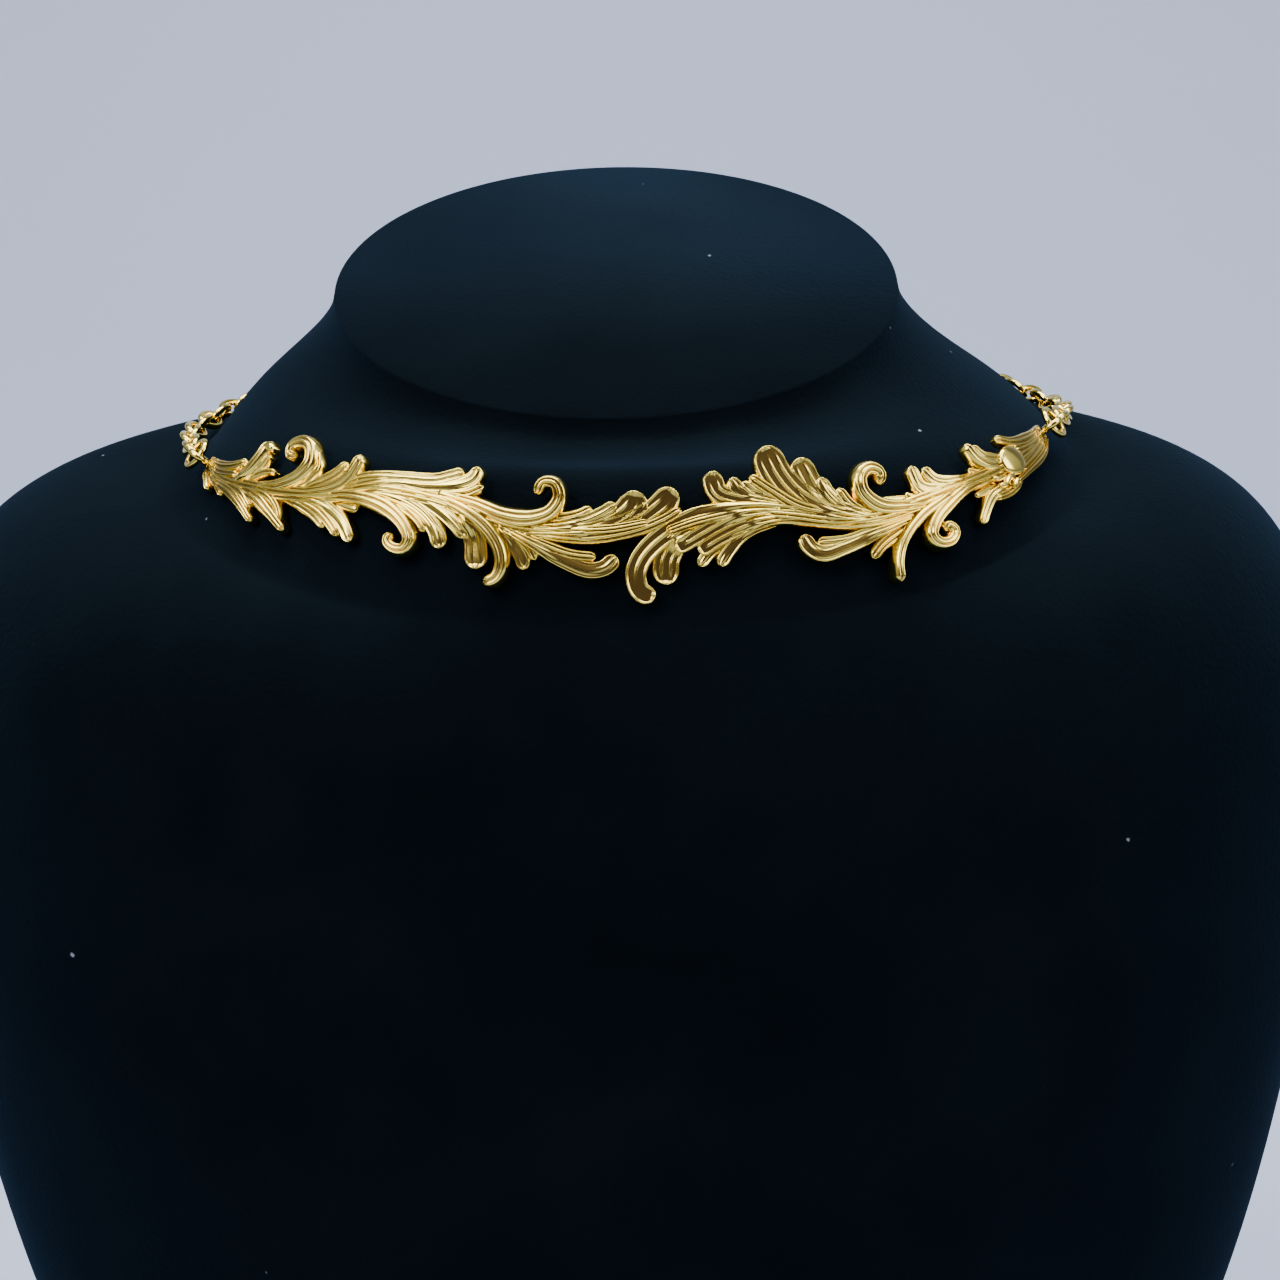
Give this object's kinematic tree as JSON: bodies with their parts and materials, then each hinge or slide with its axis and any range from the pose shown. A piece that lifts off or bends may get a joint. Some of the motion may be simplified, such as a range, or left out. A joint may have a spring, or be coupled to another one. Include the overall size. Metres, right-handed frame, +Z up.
{
  "type": "collar choker necklace on a neck bust",
  "caption": "Collar choker of cast acanthus leaves and scrolls on a cable chain, worn on a velvet neck bust that stands on its flat foot.",
  "frame": {"origin": "middle of the bust's foot, on the surface that it stands on", "axes": "+Z up, -Y towards the front of the neck, +X to the right as seen from the front"},
  "size_m": [0.195, 0.112, 0.207],
  "materials": {
    "velvet": "short-pile velvet, near-black navy",
    "gold_casting": "polished yellow gold plating on a cast plate, warmer in the recesses",
    "gold_chain": "polished yellow gold plating on wire"
  },
  "bodies": {
    "root": {"neck_bust": "velvet", "collar_plate": "gold_casting", "jump_ring_left": "gold_chain", "chain_left": "gold_chain", "jump_ring_right": "gold_chain", "chain_right": "gold_chain", "clasp": "gold_chain"}
  },
  "joints": []
}
